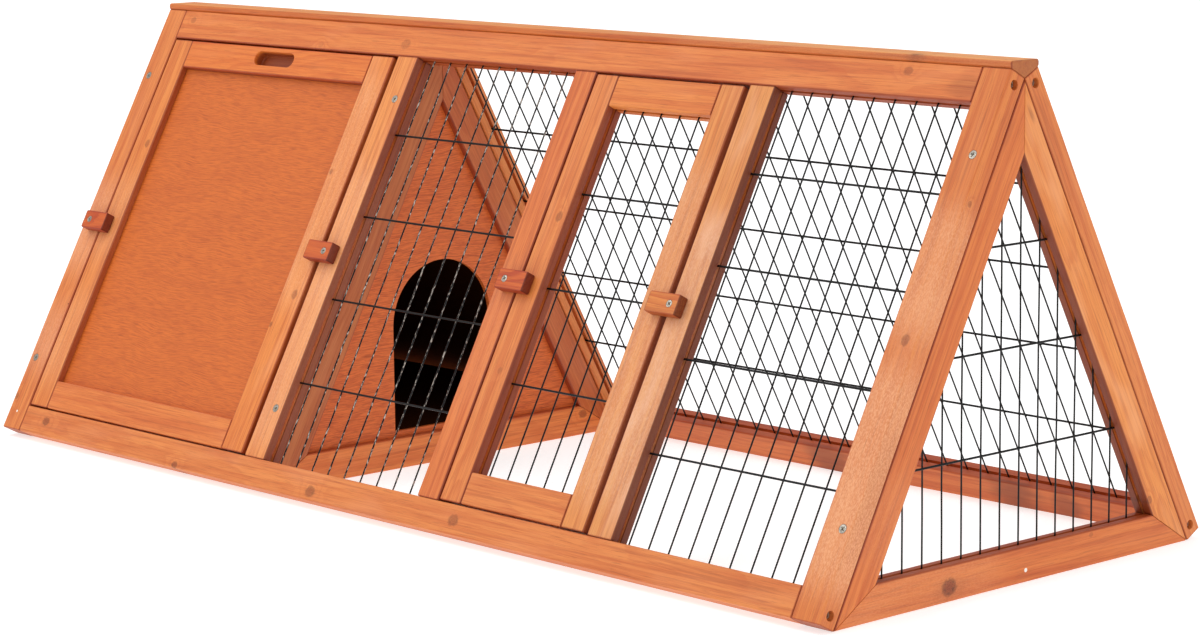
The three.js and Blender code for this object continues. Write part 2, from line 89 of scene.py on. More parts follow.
def measured(node, own):  # a node's corners, in the piece's own axes
    return (cornersOf(frame["nodes"][node]) / mm - own[:3, 3]) @ own[:3, :3]


def meshOf(name, points, faces):
    mesh = bpy.data.meshes.new(name)
    mesh.from_pydata(np.asarray(points, float) * mm, [], [list(map(int, face)) for face in faces])
    mesh.validate()
    return mesh


def gridFaces(rings, sides, capped=True, turned=False):  # quads between closed rings, with a face over each end
    ring, side = np.meshgrid(np.arange(rings - 1), np.arange(sides), indexing="ij")
    this, after = ring * sides + side, ring * sides + (side + 1) % sides
    faces = [tuple(quad) for quad in np.stack([this, after, after + sides, this + sides], -1).reshape(-1, 4)]
    if capped:
        faces += [tuple(range(sides))[::-1], tuple(range((rings - 1) * sides, rings * sides))]
    return [face[::-1] for face in faces] if turned else faces


def closedByFans(points, rings, sides):  # each open end gets a middle point and a fan of triangles
    middles = [points[:sides].mean(0), points[-sides:].mean(0)]
    count, last = len(points), (rings - 1) * sides
    faces = gridFaces(rings, sides, capped=False)
    faces += [((i + 1) % sides, i, count) for i in range(sides)]
    faces += [(last + i, last + (i + 1) % sides, count + 1) for i in range(sides)]
    return np.concatenate([points, middles]), faces


def smoothed(mesh, sharpAngle):
    mesh.shade_smooth()
    mesh.set_sharp_from_angle(angle=math.radians(sharpAngle))


def asPiece(name, mesh, sharpAngle=32):
    piece = bpy.data.objects.new(name, mesh)
    bpy.context.scene.collection.objects.link(piece)
    smoothed(mesh, sharpAngle)
    return piece


def joinedMesh(name, parts):  # several lists of points and faces as one mesh
    points, faces, offset = [], [], 0
    for partPoints, partFaces in parts:
        points.append(partPoints)
        faces += [[index + offset for index in face] for face in partFaces]
        offset += len(partPoints)
    return meshOf(name, np.concatenate(points), faces)


def overlaps(points, others):
    return bool(np.all(points.min(0) < others.max(0)) and np.all(others.min(0) < points.max(0)))


def cutAway(piece, wanted):
    for cutter in wanted:
        modifier = piece.modifiers.new("cut", "BOOLEAN")
        modifier.operation, modifier.solver, modifier.object = "DIFFERENCE", "EXACT", cutter
    depsgraph = bpy.context.evaluated_depsgraph_get()
    mesh = bpy.data.meshes.new_from_object(piece.evaluated_get(depsgraph))
    piece.modifiers.clear()
    old, piece.data = piece.data, mesh
    bpy.data.meshes.remove(old)


def roundTurn(sides):  # the angles of a regular polygon
    return np.arange(sides) * 2 * math.pi / sides


def turnedRound(profile, sides):
    # a point at radius r and height h of the profile goes to (r cos t, r sin t, h), t round the axis
    radius, height = np.array(profile, float).T
    turn = roundTurn(sides)
    levels = np.repeat(height[:, None], sides, 1)
    return np.stack([np.outer(radius, np.cos(turn)), np.outer(radius, np.sin(turn)), levels], -1)


def lathe(profile, sides, place):  # the profile turned round, closed at both ends
    points = turnedRound(profile, sides).reshape(-1, 3)
    return moved(points, place), gridFaces(len(profile), sides)


def standing(place, at, axis=2):  # a frame at a point of a place, its Z along one of the place's axes
    own = np.eye(4)
    own[:3, 2] = place[:3, axis]
    own[:3, 0] = place[:3, (axis + 1) % 3]
    own[:3, 1] = place[:3, (axis + 2) % 3]
    own[:3, 3] = moved(np.array([at], float), place)[0]
    return own


class Signal:  # a shader socket that takes part in Python expressions
    def __init__(self, shader, socket):
        self.shader, self.socket = shader, socket

    def math(self, operation, *others):
        return self.shader.math(operation, self, *others)

    def __add__(self, other): return self.math("ADD", other)
    def __radd__(self, other): return self.math("ADD", other)
    def __sub__(self, other): return self.math("SUBTRACT", other)
    def __rsub__(self, other): return self.shader.math("SUBTRACT", other, self)
    def __mul__(self, other): return self.math("MULTIPLY", other)
    def __rmul__(self, other): return self.math("MULTIPLY", other)
    def __truediv__(self, other): return self.math("DIVIDE", other)
    def __rtruediv__(self, other): return self.shader.math("DIVIDE", other, self)

    def fraction(self): return self.math("FRACT")
    def root(self): return self.math("SQRT")
    def size(self): return self.math("ABSOLUTE")
    def clamped(self): return self.math("MINIMUM", 1).math("MAXIMUM", 0)

    def step(self, start, end):  # 0 before start, 1 after end, smooth between
        settings = dict(interpolation_type="SMOOTHSTEP")
        return self.shader.node("ShaderNodeMapRange", settings, {0: self, 1: start, 2: end})


class Shader:
    def __init__(self, name):
        self.material = bpy.data.materials.new(name)
        self.material.use_nodes = True
        self.tree = self.material.node_tree
        self.tree.nodes.clear()

    def node(self, kind, settings=None, inputs=None, output=0):
        made = self.tree.nodes.new(kind)
        for key, value in (settings or {}).items():
            setattr(made, key, value)
        for key, value in (inputs or {}).items():
            if isinstance(value, Signal):
                self.tree.links.new(value.socket, made.inputs[key])
            else:
                made.inputs[key].default_value = value
        return Signal(self, made.outputs[output])

    def math(self, operation, *values):
        return self.node("ShaderNodeMath", dict(operation=operation), dict(enumerate(values)))

    def mix(self, mask, first, second, blend="MIX"):
        return self.node("ShaderNodeMix", dict(data_type="RGBA", blend_type=blend), {0: mask, 6: first, 7: second}, 2)

    def toned(self, tint, factors):  # a colour times red, green and blue factors
        return self.mix(1.0, tint, [*factors, 1.0], "MULTIPLY")

    def scaled(self, vector, factors):
        return self.node("ShaderNodeVectorMath", dict(operation="MULTIPLY"), {0: vector, 1: factors})

    def shifted(self, vector, rng):  # to a part of the noise that no other piece uses
        offset = rng.uniform(-4000, 4000, 3).tolist()
        return self.node("ShaderNodeVectorMath", dict(operation="ADD"), {0: vector, 1: offset})

    def objectPlace(self):
        return self.node("ShaderNodeTexCoord", output=3)

    def noise(self, vector, scale=1.0, detail=2.0, roughness=0.5, distortion=0.0, output=0):
        values = {"Vector": vector, "Scale": scale, "Detail": detail, "Roughness": roughness, "Distortion": distortion}
        return self.node("ShaderNodeTexNoise", dict(noise_dimensions="3D"), values, output)

    def parts(self, vector):
        split = self.node("ShaderNodeSeparateXYZ", inputs={0: vector})
        return [Signal(self, socket) for socket in split.socket.node.outputs]

    def vector(self, x, y, z):
        return self.node("ShaderNodeCombineXYZ", inputs={0: x, 1: y, 2: z})

    def grain(self, own):  # millimetres along, across and through the piece
        turn = Matrix(own[:3, :3].T.tolist())
        start = -(own[:3, :3].T @ own[:3, 3])
        values = {"Location": start.tolist(), "Rotation": turn.to_euler(), "Scale": (1 / mm,) * 3}
        return self.node("ShaderNodeMapping", dict(vector_type="POINT"), {"Vector": self.objectPlace(), **values})

    def bump(self, height, distance, strength):
        values = {"Height": height, "Distance": distance * mm, "Strength": strength}
        return self.node("ShaderNodeBump", inputs=values)

    def finish(self, **inputs):
        sockets = {key.replace("_", " "): value for key, value in inputs.items()}
        surface = self.node("ShaderNodeBsdfPrincipled", inputs=sockets)
        end = self.tree.nodes.new("ShaderNodeOutputMaterial")
        self.tree.links.new(surface.socket, end.inputs["Surface"])
        return self.material


def colour(red, green, blue):  # from the usual 0 to 255 screen values to a shader's own
    values = [value / 255 for value in (red, green, blue)]
    return [v / 12.92 if v <= 0.04045 else ((v + 0.055) / 1.055) ** 2.4 for v in values] + [1.0]


fir = dict(  # screen colours of the stained timber
    early=(224, 134, 66),
    late=(196, 93, 36),
    dark=(120, 44, 18),
    pink=(232, 154, 108),
    stain=(122, 52, 18),
    knotCore=(120, 46, 12),
    knotRim=(66, 24, 8),
    # painted highlight: the colour of the sheens
    sheen=(241, 179, 140),
    endTone=0.62,  # end grain drinks more stain; the same darkening near a face against a neighbour is painted shade
    ringPitch=5.2,
    roughness=0.42,
)
fades = dict(  # millimetres over which a darkening fades
    side=(0.7, 2.0),  # from a sawn edge
    joint=(0.3, 1.5),  # from an end or a hidden face
    recess=(-6, -1.6),  # from the outer face
    inside=(2, 6),  # from the inner face
    sheen=25,  # to each side of a sheen's ends
)
knotShape = dict(longer=1.15, narrower=0.92, uneven=1.1, swirl=0.18, bend=2.6)  # shares of a knot's radius
grainScale = dict(  # how fast each pattern changes per millimetre, along the grain and across it
    swing=(0.005, 0.02), ripple=(0.02, 0.16), showing=(0.007, 0.03),
    fibre=(0.014, 0.8), hair=(0.045, 2.2), line=(0.006, 0.26),
    drift=(0.011, 0.04), broad=(0.004, 0.11), speck=(0.35, 0.9),
)


def timberFinish(name, own, look, low, high):
    shader = Shader("stained_" + name)
    shades = {key: colour(*value) for key, value in fir.items() if isinstance(value, tuple)}
    grain = shader.grain(own)
    rng = np.random.default_rng(look["seed"])
    along, across, through = shader.parts(grain)
    afar = shader.shifted(grain, rng)

    def pattern(kind, *settings, output=0):
        lengthwise, crosswise = grainScale[kind]
        return shader.noise(shader.scaled(afar, (lengthwise, crosswise, crosswise)), 1.0, *settings, output=output)

    def radial(a, b):  # the length of (a, b)
        return (a * a + b * b).root()

    # rings round a pith that runs beside the piece, a little askew, with slow swings
    swing = shader.parts(pattern("swing", 1.0, output=1))
    pithAcross = rng.uniform(-25, 25) + (low[1] + high[1]) / 2
    pithThrough = (low[2] + high[2]) / 2 + rng.choice([-1, 1]) * rng.uniform(30, 60)
    usualSkew = (rng.uniform(-0.04, 0.04), rng.uniform(-0.04, 0.04))
    pith, skew = look.get("pith", (pithAcross, pithThrough)), look.get("skew", usualSkew)
    fromPith = across - pith[0] + along * skew[0] + (swing[0] - 0.5) * 40
    deep = through - pith[1] + along * skew[1] + (swing[1] - 0.5) * 30
    rings = radial(fromPith, deep)

    # a knot bends the rings by exp(-swirl reach^2), and has a speckled core and a broken dark rim
    core = rim = None
    knots = [(across, *knot) for knot in look.get("knots", [])]
    knots += [(through, *knot) for knot in look.get("sideKnots", [])]
    if knots:
        wobble = shader.noise(grain, 0.3, 2.0) - 0.5
        speckle = shader.noise(grain, 1.1, 2.0)
    for level, a0, b0, radius, strength in knots:
        a = (along - a0) / (knotShape["longer"] * radius)
        b = (level - b0) / (knotShape["narrower"] * radius)
        reach = radial(a, b) + wobble * knotShape["uneven"]
        swirl = shader.math("EXPONENT", reach * reach * -knotShape["swirl"])
        rings = rings + swirl * (radius * knotShape["bend"])
        here = (1 - reach.step(0.3, 1.25)) * (speckle.step(0.3, 0.7) * 0.4 + 0.6) * strength
        broken = (wobble * 2.4 + 0.5).clamped()
        edge = reach.step(0.45, 0.8) * (1 - reach.step(0.85, 1.2)) * broken * strength * 0.85
        core = here if core is None else core.math("MAXIMUM", here)
        rim = edge if rim is None else rim.math("MAXIMUM", edge)

    phase = (rings / look.get("pitch", fir["ringPitch"]) + pattern("ripple", 2.0) * 0.8).fraction()
    late = phase.step(0.3, 0.86) * (1 - phase.step(0.9, 0.99))
    showing = pattern("showing", 1.0).step(0.36, 0.7)
    fibre = pattern("fibre", 4.0, 0.65)
    hair = pattern("hair", 2.0, 0.6)
    line = pattern("line", 3.0, 0.6)
    drift = pattern("drift", 2.0)
    broad = pattern("broad", 2.0)

    tint = shader.mix(broad.step(0.38, 0.72) * 0.55, shades["early"], shades["late"])
    tint = shader.mix(late * (showing * 0.4 + 0.06) * look.get("rings", 1.0), tint, shades["late"])
    for signal, start, end, strength, shade in (
        (line, 0.5, 0.58, 0.34, "late"),
        (line, 0.58, 0.66, 0.2, "dark"),
        (fibre, 0.48, 0.7, 0.55, "late"),
        (hair, 0.54, 0.72, 0.4, "dark"),
        (drift, 0.5, 0.8, look.get("pink", 0.22), "pink"),
    ):
        tint = shader.mix(signal.step(start, end) * strength, tint, shades[shade])
    for a0, b0, reachA, reachB, strength in look.get("stains", []):  # along, across, half sizes, strength
        reach = radial((along - a0) / reachA, (across - b0) / reachB)
        patch = 1 - (reach + (drift - 0.5) * 1.6 + (fibre - 0.5) * 0.7).step(0.35, 1.1)
        if look.get("stained") == "inside":
            patch = patch * (1 - (through - low[2]).step(*fades["inside"]))
        tint = shader.mix(patch * strength, tint, shades["stain"])
    for start, end, strength in look.get("sheens", []):  # painted highlight: a speckled sheen, as raised grain would scatter the light, painted into the colour from start to end
        speck = pattern("speck", 3.0, 0.7).step(0.42, 0.62)
        soft = fades["sheen"]
        zone = along.step(start - soft, start + soft) * (1 - along.step(end - soft, end + soft))
        tint = shader.mix(zone * (speck * 0.6 + 0.4) * (drift * 0.8 + 0.6) * strength, tint, shades["sheen"])
    if knots:
        tint = shader.mix(core, tint, shades["knotCore"])
        tint = shader.mix(rim, tint, shades["knotRim"])
    for edge, place in zip(look.get("sides", (1, 1)), (low[1], high[1])):  # painted shade: the sawn side faces, and a narrow rim of the face beside them, are darkened
        if edge != 1:
            near = 1 - (across - place).size().step(*fades["side"])
            tint = shader.mix(near, tint, shader.toned(tint, (edge, edge**1.3 * 0.75, edge**1.5 * 0.68)))
    joint = shader.math("MINIMUM", (along - low[0]).size(), (along - high[0]).size())
    if "deep" in look:  # painted shade: the inside of a recess is darkened, as it lies in the dark
        sunk = 1 - (through - high[2]).step(*fades["recess"])
        tint = shader.mix(sunk * look["deep"], tint, shades["dark"])
    if "hidden" in look:  # 0 or 1: the low or the high face lies against a neighbour, and painted shade darkens the piece near it, in the crease between them
        joint = shader.math("MINIMUM", joint, (through - (low[2], high[2])[look["hidden"]]).size())
    tone = look.get("endTone", fir["endTone"])
    # darker towards each sawn end, from end grain, and painted shade near a hidden face
    tint = shader.mix(1 - joint.step(*fades["joint"]), tint, shader.toned(tint, (tone, tone * 0.7, tone * 0.55)))
    tint = shader.toned(tint, look.get("tone", (1, 1, 1)))
    for a0, b0, radius, shade in look.get("marks", []):  # nail heads and holes
        spot = 1 - radial(along - a0, across - b0).step(radius * 0.8, radius * 1.1)
        tint = shader.mix(spot, tint, colour(*shade))

    height = fibre * 0.55 + hair * 0.45 - late * 0.25
    rough = fir["roughness"] + fibre * 0.12 + drift * 0.08
    return shader.finish(Base_Color=tint, Roughness=rough, Normal=shader.bump(height, 0.2, 0.55))


ply = dict(  # screen colours of the stained plywood
    face=(214, 112, 44),
    streak=(178, 78, 26),
    dark=(120, 46, 16),
    inner=0.1,  # the sides inside the sleeping part are painted shade, darkened almost to black
    roughness=0.5,
)


def plyFinish(name, own, look):
    shader = Shader("plywood_" + name)
    grain = shader.grain(own)
    afar = shader.shifted(grain, np.random.default_rng(look["seed"]))
    sway = shader.noise(shader.scaled(afar, (0.01, 0.02, 0.02)), 1.0, 2.0) - 0.5
    along, across, through = shader.parts(afar)
    bent = shader.vector(along, across + sway * 16, through)
    ripple = shader.noise(shader.scaled(bent, (0.05, 0.95, 0.05)), 1.0, 3.0, 0.6, look.get("ripple", 0.3))
    fine = shader.noise(shader.scaled(bent, (0.06, 1.6, 0.08)), 1.0, 2.0, 0.6, 0.3)
    broad = shader.noise(shader.scaled(bent, (0.008, 0.05, 0.05)), 1.0, 2.0)
    strength = look["strength"]
    tint = shader.mix(ripple.step(0.4, 0.66) * strength, colour(*ply["face"]), colour(*ply["streak"]))
    tint = shader.mix(fine.step(0.5, 0.72) * strength * 0.62, tint, colour(*ply["dark"]))
    tint = shader.mix(broad.step(0.42, 0.75) * 0.25, tint, colour(*ply["streak"]))
    tint = shader.toned(tint, look.get("tone", (1, 1, 1)))
    way, start = look["inside"]  # which way the inner side faces, and how far through the sheet it starts
    inner = ((shader.parts(grain)[2] - start) * way).step(-0.1, 0.1)
    # painted shade: the inner side of a sheet is darkened almost to black
    tint = shader.mix(inner * (1 - look.get("inner", ply["inner"])), tint, [0.004, 0.002, 0.001, 1.0])
    rough = look.get("roughness", ply["roughness"]) + fine * 0.12
    bump = shader.bump(ripple * 0.6 + fine * 0.4, 0.18, 0.6)
    return shader.finish(Base_Color=tint, Roughness=rough, IOR=look.get("ior", 1.5), Normal=bump)


def wireFinish(name="black_wire", own=None, level=0):
    shader = Shader(name)
    mottle = shader.noise(shader.objectPlace(), 900.0, 2.0)
    tint = shader.mix(mottle, colour(4, 5, 6), colour(12, 13, 15))
    if own is not None:  # painted glints: highlights on the uprights, which lie below the level of the cross wires
        grain = shader.grain(own)
        glint = shader.noise(shader.scaled(grain, (0.9, 0.22, 0.9)), 1.0, 2.0).step(0.54, 0.64)
        below = 1 - shader.parts(grain)[2].step(level - 0.1, level)
        tint = shader.mix(glint * below * 0.7, tint, colour(226, 214, 200))
    bump = shader.bump(mottle, 0.1, 0.8)
    return shader.finish(Base_Color=tint, Roughness=0.3 + mottle * 0.15, IOR=1.3, Normal=bump)


def zincFinish():
    shader = Shader("zinc_screw")
    mottle = shader.noise(shader.objectPlace(), 1400.0, 3.0)
    tint = shader.mix(mottle.step(0.35, 0.7), colour(150, 145, 136), colour(206, 200, 188))
    bump = shader.bump(mottle, 0.05, 0.5)
    return shader.finish(Base_Color=tint, Metallic=1.0, Roughness=0.24 + mottle * 0.2, Normal=bump)


# What is cut out of the timbers: grooves for the nets and sheets, screw holes, and the finger recess
def blockCutter(name, low, high, place):  # a box between two corners, in a place
    outline = ((low[0], low[1]), (high[0], low[1]), (high[0], high[1]), (low[0], high[1]))
    corners = np.array([[x, y, z] for z in (low[2], high[2]) for x, y in outline], float)
    return asPiece(name, meshOf(name, moved(corners, place), gridFaces(2, 4)))


def prismCutter(name, outline, low, high):  # an outline in (y, z), carried along the run
    points = np.array([[x, y, z] for x in (low, high) for y, z in outline], float)
    return asPiece(name, meshOf(name, points, gridFaces(2, len(outline))))


groove = dict(depth=6, wire=4.05, ply=5.6)  # how far it runs into a timber, and how wide it is
openings = dict(  # what fills it; in which panel: left, right, lower, upper
    middle=("wire", "front", (-158.2, 79.1, 29, 465)),
    right=("wire", "front", (346.5, 578, 29, 465)),
    sleepDoor=("ply", "front", (-544.7, -230.2, 61.8, 431.8)),
    runDoor=("wire", "front", (140.9, 278.5, 61.8, 431.8)),
    back=("wire", "back", (-578, 158.2, 29, 465)),
    backPly=("ply", "back", (190.2, 578, 29, 465)),
)
endFrame = dict(leg=31, gap=0.3, rail=32, railGroove=2.5)  # a frame's timbers, the gap to its panels, a deeper groove
frames = dict(right_end=(600, "wire"), left_end=(-600, "ply"), partition=(-170, "ply"))  # middle, what fills it
screws = dict(  # radii of the head and the shank; where they sit
    face=dict(head=3.9, shank=2, length=42, low=82, high=418, columns=(-600, -170, 600)),
    pivot=dict(head=3.4, shank=1.7, length=24),
    corner=dict(head=3.6, shank=2, length=45, inset=10.7, boreRadius=4.4, boreDepth=7, headHeight=2.2),
)
buttons = dict(  # the pivot along the run and up the slope, which way the nose points, the stain
    sleep_left=(-586.7, 242, 1, (0.82, 0.48, 0.2)),
    sleep_right=(-175.7, 246.5, -1, (0.82, 0.48, 0.2)),
    run_left=(100.4, 246.5, 1, (0.82, 0.48, 0.2)),
    run_right=(324.0, 246.5, -1, (1.0, 1.08, 0.88)),
)
buttonSize = dict(length=39, width=20, thickness=10.6, pivotInset=10.5, corner=1.8, edge=1.0, base=20.3)
recess = dict(length=67, height=15.6, depth=12, middle=-390.5, level=449.6, lip=1.3)


def frameOpening(margin):  # the triangle inside a frame's legs and rail
    fromPanel = endFrame["gap"] + endFrame["leg"]
    base = endFrame["rail"] - margin - endFrame["railGroove"]
    reach = footprint - base / math.tan(slope) - (fromPanel - margin) / math.sin(slope)
    crown = (footprint - fromPanel / math.sin(slope)) * math.tan(slope) + margin / math.cos(slope)
    return [(-reach, base), (reach, base), (0, crown)]


cutters = []
for name, (kind, side, (x0, x1, y0, y1)) in openings.items():
    g, half = groove["depth"], groove[kind] / 2
    low, high = (x0 - g, y0 - g, panelMiddle - half), (x1 + g, y1 + g, panelMiddle + half)
    cutters.append(blockCutter("groove_" + name, low, high, places[side]))
for name, (middle, kind) in frames.items():
    half = groove[kind] / 2
    cutters.append(prismCutter("groove_" + name, frameOpening(groove["depth"]), middle - half, middle + half))

screwHead = dict(
    rim=0.5,  # the straight edge of a head, above its taper
    taper=0.8,  # depth of the taper against its width
    clearance=0.3,  # between a screw and its bore
    dome=0.25,
    cross=dict(half=0.62, depth=1.5, slant=0.3, reach=0.62, fade=0.5),  # the reach is a share of the head's radius
    sides=48,
    rows=12,
)
boreSides = 28


def screwHole(name, size, place, at):  # a countersunk bore, a little wider than its screw
    rim, taper = screwHead["rim"], (size["head"] - size["shank"]) * screwHead["taper"]
    head, shank = size["head"] + screwHead["clearance"], size["shank"] + screwHead["clearance"]
    bottom = [(0.6, -size["length"] - 1), (shank, -size["length"] + 2)]
    top = [(shank, -rim - taper), (head, -rim), (head + 0.25, 0.1), (head + 0.9, 1.2)]
    return asPiece(name, meshOf(name, *lathe(bottom + top, boreSides, standing(place, at))))


def pivotFrame(x, y):  # at the top of a button, over its pivot
    return places["front"], (x, y, buttonSize["base"] + buttonSize["thickness"])


def cornerFrame(side, level, depth=0):  # at the right end, in the middle of a panel's thickness, facing outwards
    sign = 1 if side == "front" else -1
    own = standing(places["upright"], (0, 0, 0), 0)
    at = np.array([[sign * (run["length"] / 2 - depth), level, panelMiddle]], float)
    own[:3, 3] = moved(at, places[side])[0]
    return own


cornerLevels = dict(bottom=screws["corner"]["inset"], top=run["slopeLength"] - screws["corner"]["inset"])
faceLevels = dict(lower=screws["face"]["low"], upper=screws["face"]["high"])
for column in screws["face"]["columns"]:
    for level in faceLevels.values():
        cutters.append(screwHole("hole_face", screws["face"], places["front"], (column, level, run["thickness"])))
for x, y, _, _ in buttons.values():
    cutters.append(screwHole("hole_pivot", screws["pivot"], *pivotFrame(x, y)))
for side in ("front", "back"):
    for level in cornerLevels.values():
        bore, deep = screws["corner"]["boreRadius"], -screws["corner"]["boreDepth"]
        profile = [(0.6, deep - 42), (2.3, deep - 41), (2.3, deep), (bore, deep)]
        profile += [(bore, -0.5), (bore + 0.5, 0.2), (bore + 1.2, 1.0)]
        points, faces = lathe(profile, boreSides, cornerFrame(side, level))
        cutters.append(asPiece("hole_corner", meshOf("hole_corner", points, faces)))


def slotOutline(half, radius):  # a stadium: two half circles joined by straight sides
    turn = np.linspace(-math.pi / 2, math.pi / 2, 10)
    right = np.stack([half - radius + radius * np.cos(turn), radius * np.sin(turn)], -1)
    return np.concatenate([right, -right])


def recessCutter():  # stadiums from the bottom of the recess to its flared lip: how far drawn in, at what height
    straight = recess["length"] / 2 - recess["height"] / 2
    levels = [(0.9, -recess["depth"]), (0, -recess["depth"] + 0.9), (0, -recess["lip"])]
    levels += [(-0.35, -0.45), (-1.1, 0), (-2.2, 0.9)]
    rings = []
    for inset, height in levels:
        radius = recess["height"] / 2 - inset
        outline = slotOutline(straight + radius, radius) + [recess["middle"], recess["level"]]
        rings.append(np.column_stack([outline, np.full(len(outline), run["thickness"] + height)]))
    points = moved(np.concatenate(rings), places["front"])
    return asPiece("recess", meshOf("recess", points, gridFaces(len(levels), len(rings[0]))))


cutters.append(recessCutter())
cutterPoints = {cutter: cornersOf(cutter) for cutter in cutters}
print("cutters", len(cutters))

arris = dict(radius=1.7, wear=0.55, steps=4, pitch=28, waves=(17, 41, 97))  # the worn long edges of a timber


def timberShape(starts, ends, across, depth, seed):
    # a rounded rectangle carried along the grain; each end is a plane, straight in the across direction
    rng = np.random.default_rng(seed)
    length = np.mean(ends) - np.mean(starts)
    count = max(4, int(length / arris["pitch"]))
    soft = run["endSoftness"]
    travel = np.linspace(soft, length - soft, count)[1:-1]
    travel = np.concatenate([[0, soft], travel, [length - soft, length]]) / length
    phases = rng.uniform(0, 2 * math.pi, (3, 4))
    spans = [np.outer(travel * length / span, np.ones(4)) for span in arris["waves"]]
    waves = sum(np.sin(span + phase) for span, phase in zip(spans, phases)) / len(spans)
    radius = arris["radius"] + arris["wear"] * waves  # rings by corners
    turn = np.linspace(0, math.pi / 2, arris["steps"])
    corners = []
    for index, (signB, signC) in enumerate([(1, 1), (-1, 1), (-1, -1), (1, -1)]):
        angle = turn if signB * signC > 0 else turn[::-1]
        r = radius[:, index, None]
        b = across[signB > 0] - signB * r * (1 - np.cos(angle))
        c = depth[signC > 0] - signC * r * (1 - np.sin(angle))
        corners.append(np.stack([b, c], -1))
    section = np.concatenate(corners, 1)  # rings, points, (b, c)
    middle = np.array([np.mean(across), np.mean(depth)])
    half = np.array([np.ptp(across), np.ptp(depth)]) / 2
    for end in (0, -1):  # the end face is drawn in a little
        section[end] = middle + (section[end] - middle) * (1 - soft / half)
    share = (section[..., 0] - across[0]) / (across[1] - across[0])
    start = starts[0] + share * (starts[1] - starts[0])
    end = ends[0] + share * (ends[1] - ends[0])
    along = start + travel[:, None] * (end - start)
    points = np.stack([along, section[..., 0], section[..., 1]], -1)
    return closedByFans(points.reshape(-1, 3), len(travel), section.shape[1])


def finished(piece, material, wanted):  # cut, smoothed and stained
    cutAway(piece, wanted)
    smoothed(piece.data, 30)
    piece.data.materials.clear()
    piece.data.materials.append(material)
    piece.modifiers.new("even", "WEIGHTED_NORMAL").keep_sharp = True


def timber(node, body, side, along, across, look):
    own = pieceFrame(places[side], along, across)
    points = measured(node, own)
    low, high = points.min(0), points.max(0)
    lowEdge, highEdge = points[points[:, 1] < low[1] + 0.5], points[points[:, 1] > high[1] - 0.5]
    starts = (lowEdge[:, 0].min(), highEdge[:, 0].min())
    ends = (lowEdge[:, 0].max(), highEdge[:, 0].max())
    shape, faces = timberShape(starts, ends, (low[1], high[1]), (low[2], high[2]), look["seed"])
    piece = asPiece("timber_" + node, meshOf(node, moved(shape, own), faces))
    corners = cornersOf(piece)
    wanted = [cutter for cutter in cutters if overlaps(corners, cutterPoints[cutter])]
    finished(piece, timberFinish(node, own, look, low, high), wanted)
    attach(piece, body)
    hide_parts(node)


def stiles(side, *names):
    return {name: (side, 1, 0) for name in names}


def rails(side, *names):
    return {name: (side, 0, 1) for name in names}


